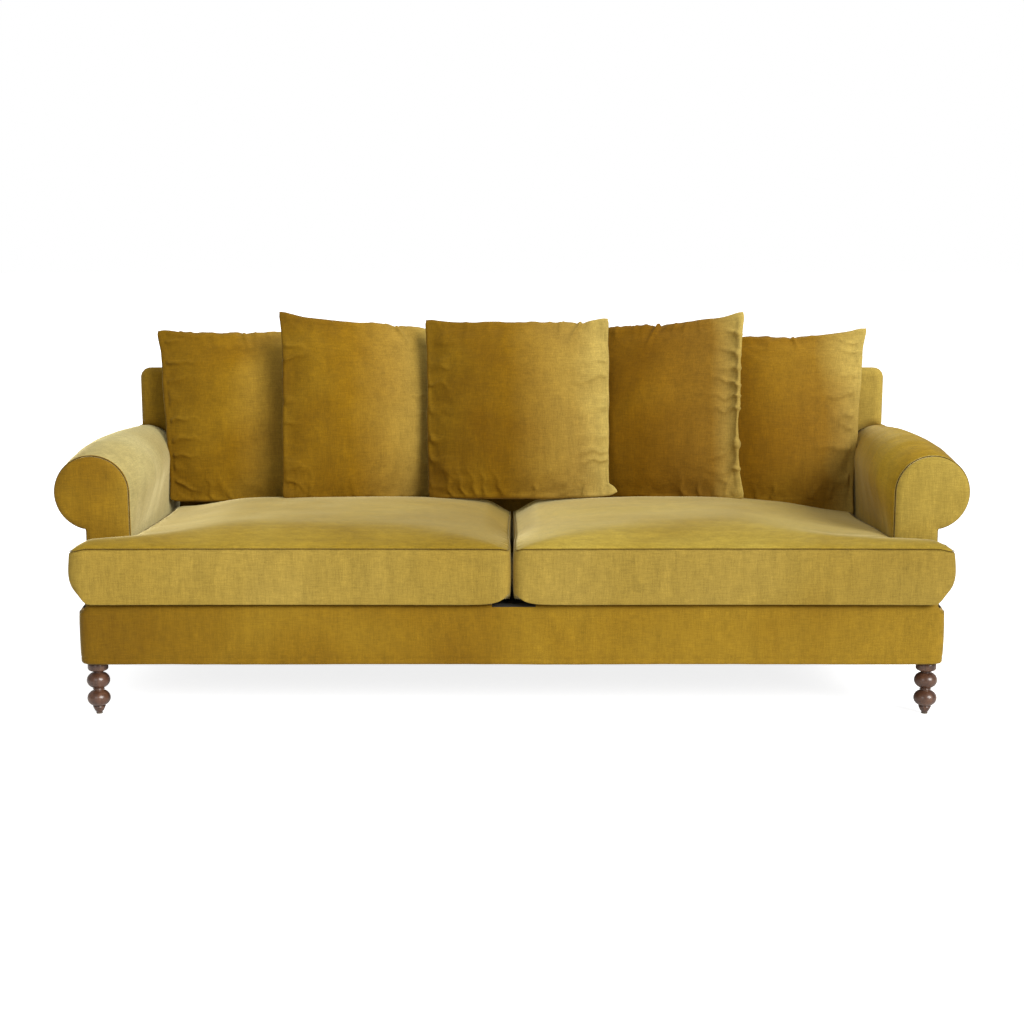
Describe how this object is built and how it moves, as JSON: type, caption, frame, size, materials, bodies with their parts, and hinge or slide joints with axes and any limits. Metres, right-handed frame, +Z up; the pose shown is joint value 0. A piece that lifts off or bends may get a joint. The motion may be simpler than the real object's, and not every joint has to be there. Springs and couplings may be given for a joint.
{
  "type": "sofa",
  "caption": "Roll-arm sofa in short velvet with T-shaped seat cushions, loose back pillows and turned wooden legs.",
  "frame": {"origin": "on the floor, under the middle of the sofa's bounding box", "axes": "+X along the seat to the sitter's left when seated, which is the viewer's right, +Y towards the back, +Z up"},
  "size_m": [2.3, 0.9976, 0.9807],
  "materials": {
    "velvet": "short-pile ochre velvet with a soft sheen",
    "pillow_velvet": "short-pile ochre velvet, creased at the edges",
    "leg_wood": "walnut-stained hardwood, satin lacquer",
    "frame_wood": "planed pale hardwood and plywood",
    "steel": "bright zinc-plated steel",
    "black_cloth": "matt woven lining cloth",
    "webbing": "woven jute webbing",
    "glide": "dull nylon"
  },
  "bodies": {
    "root": {"front_rail": "frame_wood", "rear_rail": "frame_wood", "left_side_rail": "frame_wood", "right_side_rail": "frame_wood", "seat_stretchers": "frame_wood", "corner_blocks": "frame_wood", "arm_bearers": "frame_wood", "left_arm_boards": "frame_wood", "right_arm_boards": "frame_wood", "left_arm_rails": "frame_wood", "right_arm_rails": "frame_wood", "back_posts": "frame_wood", "back_top_rail": "frame_wood", "back_lower_rail": "frame_wood", "back_slats": "frame_wood", "back_webbing": "webbing", "seat_springs": "steel", "spring_clips": "steel", "deck_pad": "black_cloth", "dust_cover": "black_cloth", "base_front_panel": "velvet", "base_left_panel": "velvet", "base_right_panel": "velvet", "base_rear_panel": "velvet", "left_arm_pad": "velvet", "right_arm_pad": "velvet", "left_arm_facing": "velvet", "right_arm_facing": "velvet", "inside_back": "velvet", "outside_back": "velvet", "front_left_leg": "leg_wood", "front_right_leg": "leg_wood", "rear_left_leg": "leg_wood", "rear_right_leg": "leg_wood", "leg_bolts": "steel", "leg_plates": "steel", "leg_glides": "glide"},
    "left_seat": {"left_seat_cushion": "velvet"},
    "right_seat": {"right_seat_cushion": "velvet"},
    "loose_pillow_1": {"pillow_1": "pillow_velvet"},
    "loose_pillow_2": {"pillow_2": "pillow_velvet"},
    "loose_pillow_3": {"pillow_3": "pillow_velvet"},
    "loose_pillow_4": {"pillow_4": "pillow_velvet"},
    "loose_pillow_5": {"pillow_5": "pillow_velvet"}
  },
  "joints": [
    {"name": "left_seat_pull", "type": "slide", "parent": "root", "child": "left_seat", "axis": [0, -1, 0], "range_m": [0, 0.9]},
    {"name": "right_seat_pull", "type": "slide", "parent": "root", "child": "right_seat", "axis": [0, -1, 0], "range_m": [0, 0.9]},
    {"name": "pillow_1_lift", "type": "slide", "parent": "root", "child": "loose_pillow_1", "axis": [0, 0.1392, 0.9903], "range_m": [0, 0.5]},
    {"name": "pillow_2_lift", "type": "slide", "parent": "root", "child": "loose_pillow_2", "axis": [0, 0.1392, 0.9903], "range_m": [0, 0.5]},
    {"name": "pillow_3_lift", "type": "slide", "parent": "root", "child": "loose_pillow_3", "axis": [0, 0.1392, 0.9903], "range_m": [0, 0.5]},
    {"name": "pillow_4_lift", "type": "slide", "parent": "root", "child": "loose_pillow_4", "axis": [0, 0.1392, 0.9903], "range_m": [0, 0.5]},
    {"name": "pillow_5_lift", "type": "slide", "parent": "root", "child": "loose_pillow_5", "axis": [0, 0.1392, 0.9903], "range_m": [0, 0.5]}
  ]
}
